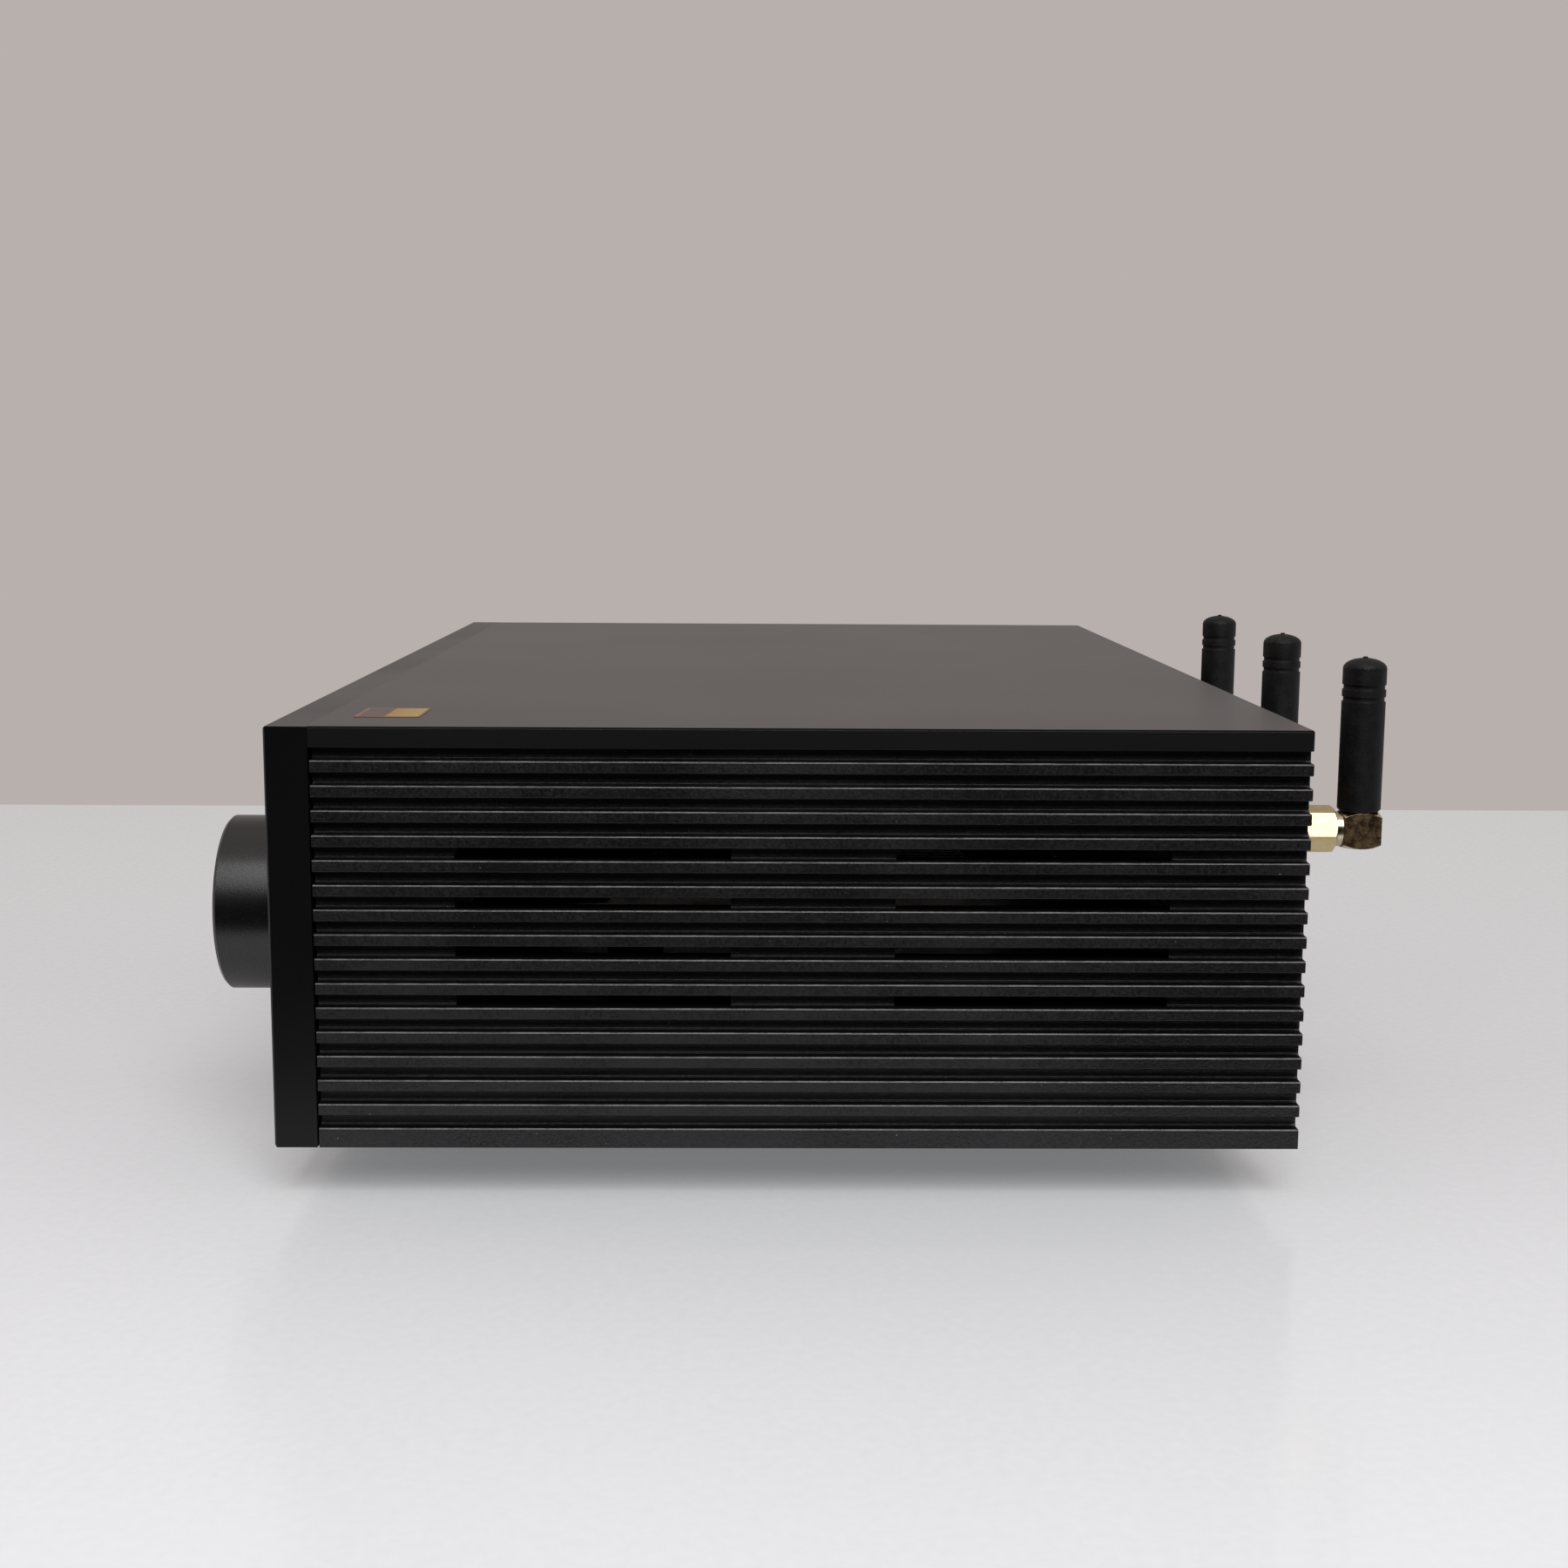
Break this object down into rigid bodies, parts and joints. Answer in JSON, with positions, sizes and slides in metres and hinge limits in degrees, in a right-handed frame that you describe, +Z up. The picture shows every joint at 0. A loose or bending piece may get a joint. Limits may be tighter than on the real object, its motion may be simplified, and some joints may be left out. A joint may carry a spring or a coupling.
{
  "type": "media player with hard drive tray",
  "caption": "Low black aluminium media player with finned sides, a front display and knob, rear antennas, sockets and a slide-out hard drive tray.",
  "frame": {"origin": "middle of the overall width and depth, on the surface that the feet stand on", "axes": "+Z up, the front plate and knob face -Y, the right side faces +X"},
  "size_m": [0.27, 0.2218, 0.096],
  "materials": {
    "case_black": "black anodised, bead blasted",
    "knob_black": "black anodised, turned",
    "foil": "orange gold foil",
    "glass": "smoked, polished",
    "display": "dark screen",
    "ribbon": "amber film",
    "steel_black": "black oxide",
    "steel_zinc": "zinc plated",
    "gold": "gold plated",
    "rubber": "matt black",
    "black_plastic": "moulded, fine texture",
    "rocker_plastic": "moulded, glossy",
    "grey_plastic": "moulded",
    "white_plastic": "moulded",
    "board_green": "solder mask",
    "sink": "black anodised",
    "port_shell": "nickel plated",
    "blade": "nickel plated",
    "drive_metal": "cast and stamped",
    "tray_metal": "bare"
  },
  "bodies": {
    "chassis": {"antenna_coupling_nuts": "gold", "antenna_jacks": "gold", "antenna_panel_nuts": "gold", "audio_board": "board_green", "board_parts": "black_plastic", "board_pillars": "gold", "board_screws": "steel_zinc", "bottom_plate": "case_black", "bottom_screws": "steel_black", "display_glass": "glass", "display_module": "display", "display_ribbon": "ribbon", "drive_backplane": "board_green", "drive_cage": "steel_zinc", "encoder_body": "grey_plastic", "encoder_nut": "steel_zinc", "feet": "case_black", "foil_label": "foil", "foot_pads": "rubber", "front_frame": "steel_zinc", "front_plate": "case_black", "guide_rails": "black_plastic", "heat_sink": "sink", "inner_screws": "steel_black", "main_board": "board_green", "mains_blades": "blade", "mains_inlet": "black_plastic", "network_port": "port_shell", "phono_barrels": "gold", "phono_cores": "white_plastic", "phono_housing": "black_plastic", "port_tongues": "black_plastic", "rear_panel": "case_black", "rear_screws": "steel_black", "rocker_frame": "black_plastic", "rocker_pin": "steel_zinc", "side_panel_left": "case_black", "side_panel_right": "case_black", "supply_board": "board_green", "switch_board": "board_green", "top_cover": "case_black", "usb_ports": "port_shell", "video_port": "port_shell"},
    "encoder_plunger": {"encoder_plunger": "grey_plastic"},
    "knob": {"knob": "knob_black", "knob_grub_screw": "steel_black", "encoder_shaft": "steel_zinc"},
    "antenna_right": {"antenna_elbow_right": "gold", "antenna_whip_right": "rubber"},
    "antenna_middle": {"antenna_elbow_middle": "gold", "antenna_whip_middle": "rubber"},
    "antenna_left": {"antenna_elbow_left": "gold", "antenna_whip_left": "rubber"},
    "tray": {"tray_carrier": "tray_metal", "tray_front": "case_black", "lever_pin": "steel_zinc", "hard_drive": "drive_metal", "drive_screws": "steel_zinc"},
    "tray_lever": {"tray_lever": "case_black"},
    "power_rocker": {"power_rocker": "rocker_plastic"}
  },
  "joints": [
    {"name": "knob_press", "type": "slide", "parent": "chassis", "child": "encoder_plunger", "axis": [0, 1, 0], "range_m": [0, 0.0008], "stiffness_N_per_m": 1500, "springref_m": -0.0005},
    {"name": "knob_spin", "type": "hinge", "parent": "encoder_plunger", "child": "knob", "pos_m": [0.097, -0.0954, 0.0469], "axis": [0, 1, 0], "continuous": true},
    {"name": "antenna_right_swivel", "type": "hinge", "parent": "chassis", "child": "antenna_right", "pos_m": [0.101, 0.1068, 0.0627], "axis": [0, 1, 0], "range_deg": [-55, 90]},
    {"name": "antenna_middle_swivel", "type": "hinge", "parent": "chassis", "child": "antenna_middle", "pos_m": [0.0382, 0.1068, 0.0627], "axis": [0, 1, 0], "range_deg": [-55, 55]},
    {"name": "antenna_left_swivel", "type": "hinge", "parent": "chassis", "child": "antenna_left", "pos_m": [-0.0246, 0.1068, 0.0627], "axis": [0, 1, 0], "range_deg": [-90, 55]},
    {"name": "tray_slide", "type": "slide", "parent": "chassis", "child": "tray", "axis": [0, 1, 0], "range_m": [0, 0.1]},
    {"name": "tray_lever_swing", "type": "hinge", "parent": "tray", "child": "tray_lever", "pos_m": [0.0871, 0.0873, 0.0267], "axis": [0, 0, -1], "range_deg": [0, 80]},
    {"name": "power_rocker_tip", "type": "hinge", "parent": "chassis", "child": "power_rocker", "pos_m": [-0.111, 0.087, 0.0667], "axis": [0, 0, -1], "range_deg": [0, 20]}
  ]
}
